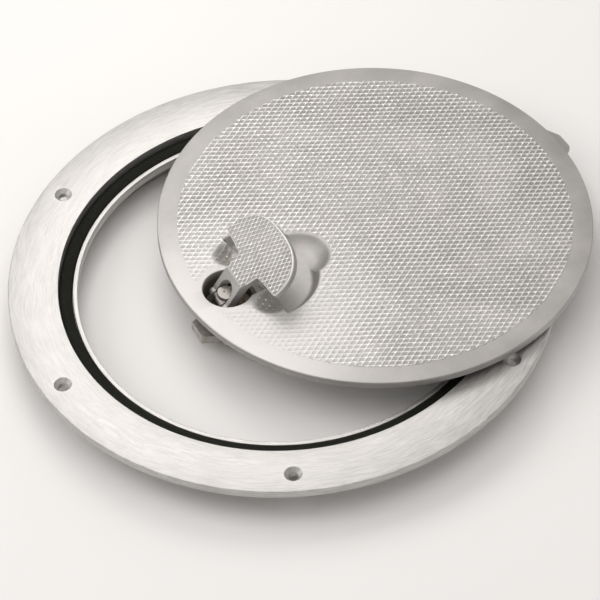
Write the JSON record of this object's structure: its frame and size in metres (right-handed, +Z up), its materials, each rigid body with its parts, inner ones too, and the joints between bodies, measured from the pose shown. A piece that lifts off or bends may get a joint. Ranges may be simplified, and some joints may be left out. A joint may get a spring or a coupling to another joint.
{
  "type": "round deck hatch",
  "caption": "Round flush deck hatch, opened: a countersunk ring frame with a seal, and a treaded loose lid with a lift-and-turn latch leaning in it.",
  "frame": {"origin": "bottom centre of the whole object's box: on the plane the frame's collar stands on", "axes": "+X from the latch towards the lid's lug, the way the lid is shifted; +Z up out of the deck; +Y completes the right-handed set"},
  "size_m": [0.4304, 0.385, 0.0784],
  "materials": {
    "machined_aluminium": "brushed, turned",
    "cast_aluminium": "as cast, lightly blasted",
    "stainless": "machined, slightly worn",
    "bronze": "machined",
    "rubber": "matt, slightly dusty"
  },
  "bodies": {
    "frame": {"frame_ring": "machined_aluminium", "frame_seal": "rubber"},
    "lid": {"lid_plate": "cast_aluminium", "stop_pin_locked": "stainless", "stop_pin_open": "stainless", "shaft_bush": "bronze", "bush_gasket": "rubber", "bush_nut": "bronze"},
    "latch": {"latch_shaft": "stainless", "lever_hub": "stainless", "pivot_pin": "stainless", "hub_roll_pin": "stainless", "spring_coil": "stainless", "thrust_washer": "bronze", "upper_o_ring": "rubber", "lower_o_ring": "rubber", "spring_washer": "stainless", "latch_dog": "stainless", "dog_washer": "stainless", "lock_nut": "stainless"},
    "handle": {"handle_lever": "cast_aluminium"}
  },
  "joints": [
    {"name": "lid_lift", "type": "slide", "parent": "frame", "child": "lid", "axis": [0, 0, 1], "range_m": [0, 0.15]},
    {"name": "latch_turn", "type": "hinge", "parent": "lid", "child": "latch", "pos_m": [-0.0674, -0.00107, 0.04518], "axis": [-0.0398, 0, -0.9992], "range_deg": [-5.4, 84.6]},
    {"name": "handle_fold", "type": "hinge", "parent": "latch", "child": "handle", "pos_m": [-0.07395, -0.00054, 0.03593], "axis": [-0.0853, -0.9963, 0.0034], "range_deg": [-14, 45]}
  ]
}
